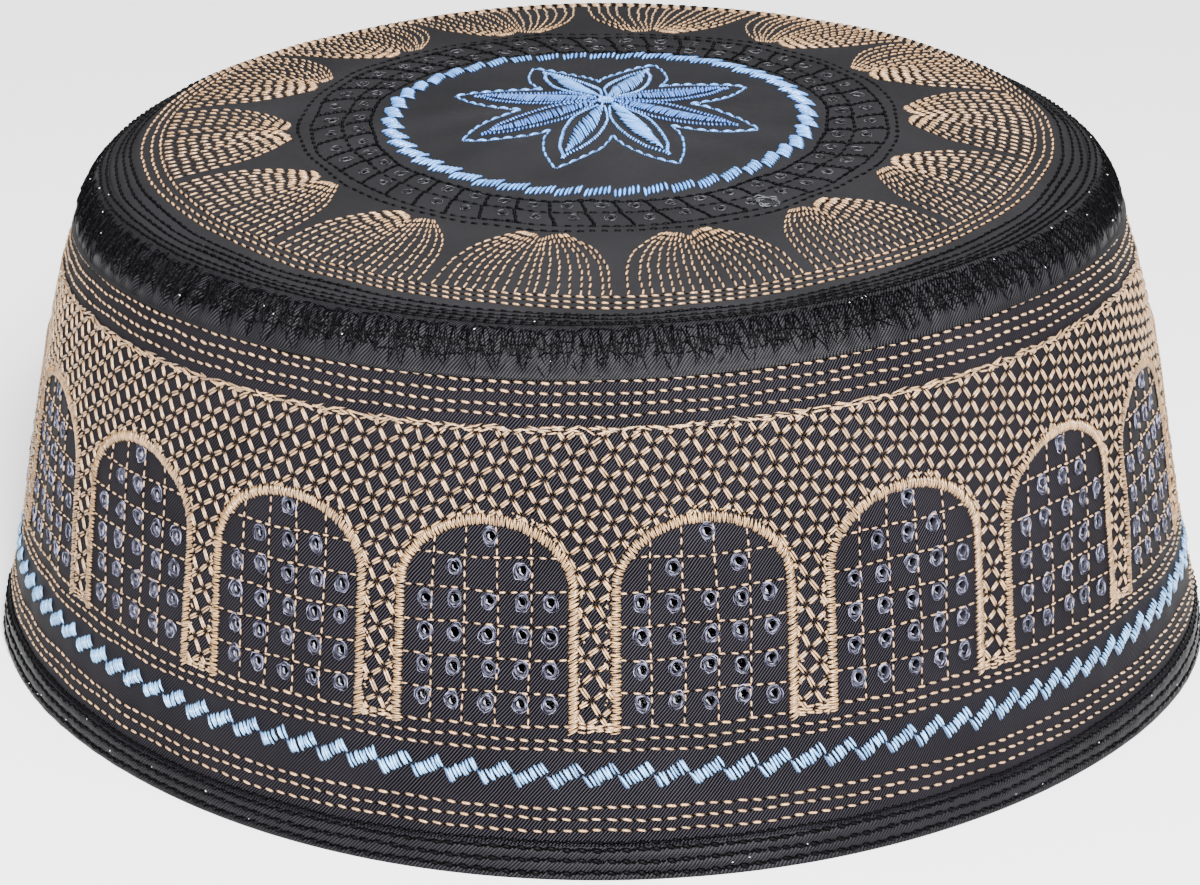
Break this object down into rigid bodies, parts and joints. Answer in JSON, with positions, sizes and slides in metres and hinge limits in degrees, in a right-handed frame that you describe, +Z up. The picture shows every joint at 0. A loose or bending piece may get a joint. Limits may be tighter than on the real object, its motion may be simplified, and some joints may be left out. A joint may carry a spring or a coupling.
{
  "type": "kufi cap",
  "caption": "Round brimless kufi with a tapered embroidered side band, slightly domed crown, gathered seam roll and folded hem binding, hollow for the head.",
  "frame": {"origin": "centre of the footprint, on the surface that the cap rests on", "axes": "+Z up through the crown, -Y to the front of the cap, +X to the cap's right as seen from the front"},
  "size_m": [0.1954, 0.1868, 0.0915],
  "materials": {
    "band_cloth": "satin twill",
    "crown_cloth": "satin twill",
    "seam_cloth": "matte gathered thread",
    "binding_cloth": "matte twill"
  },
  "bodies": {
    "root": {"side_band": "band_cloth", "crown": "crown_cloth", "crown_seam": "seam_cloth", "hem_binding": "binding_cloth"}
  },
  "joints": []
}
